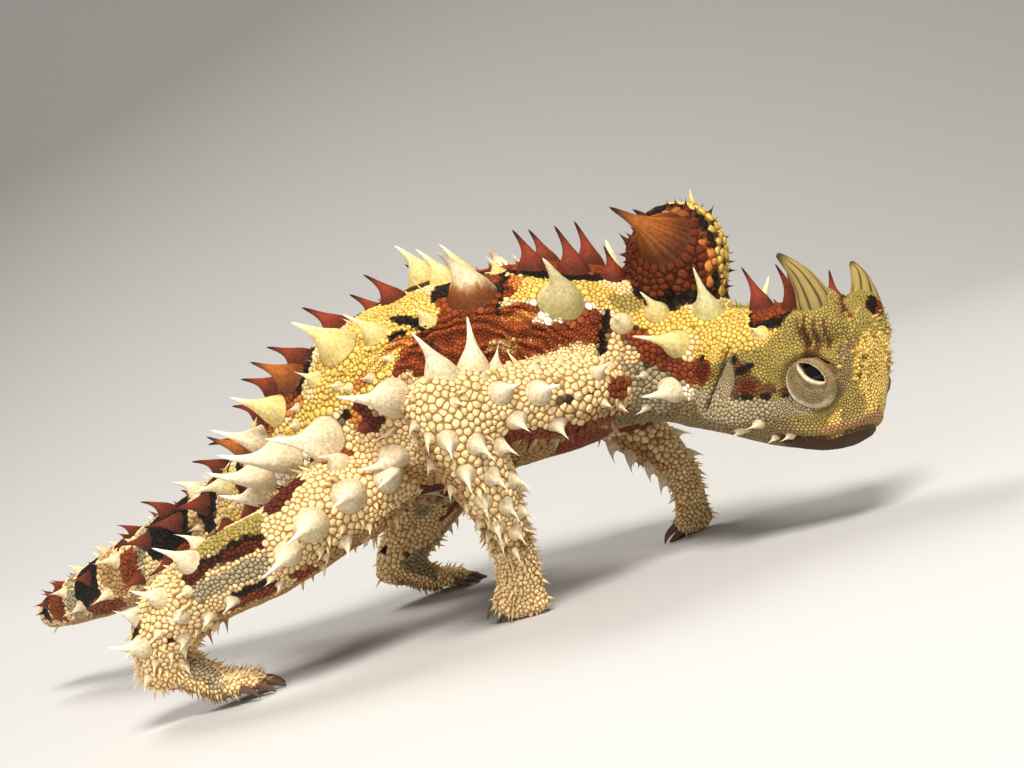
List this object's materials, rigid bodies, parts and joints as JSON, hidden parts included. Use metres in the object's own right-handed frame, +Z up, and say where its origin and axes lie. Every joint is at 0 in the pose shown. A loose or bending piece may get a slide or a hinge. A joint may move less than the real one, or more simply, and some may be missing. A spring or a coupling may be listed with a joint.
{
  "type": "thorny devil lizard model",
  "caption": "Life-size still model of a thorny devil: a small desert lizard with conical thorns, two horns over the eyes and a knob on the nape, standing on four feet.",
  "frame": {"origin": "centre of the bottom face of the bounding box, on the floor", "axes": "+X from tail to head, the longest extent; +Y to the animal's left; +Z up"},
  "size_m": [0.1342, 0.0622, 0.0443],
  "materials": {
    "scaly_skin": "dry scaly skin in rust, yellow and cream bands with black edges",
    "eye": "wet dark eye",
    "horn": "translucent yellow horn with dark streaks and tip"
  },
  "bodies": {
    "root": {"head": "scaly_skin", "lower_jaw": "scaly_skin", "neck": "scaly_skin", "nuchal_knob": "scaly_skin", "chest": "scaly_skin", "abdomen": "scaly_skin", "tail_base": "scaly_skin", "tail_middle": "scaly_skin", "tail_tip": "scaly_skin", "upper_arm_right": "scaly_skin", "forearm_right": "scaly_skin", "hand_right": "scaly_skin", "upper_arm_left": "scaly_skin", "forearm_left": "scaly_skin", "hand_left": "scaly_skin", "thigh_right": "scaly_skin", "shank_right": "scaly_skin", "foot_right": "scaly_skin", "thigh_left": "scaly_skin", "shank_left": "scaly_skin", "foot_left": "scaly_skin", "eye_right": "eye", "eye_left": "eye", "horn_right": "horn", "horn_left": "horn"}
  },
  "joints": []
}
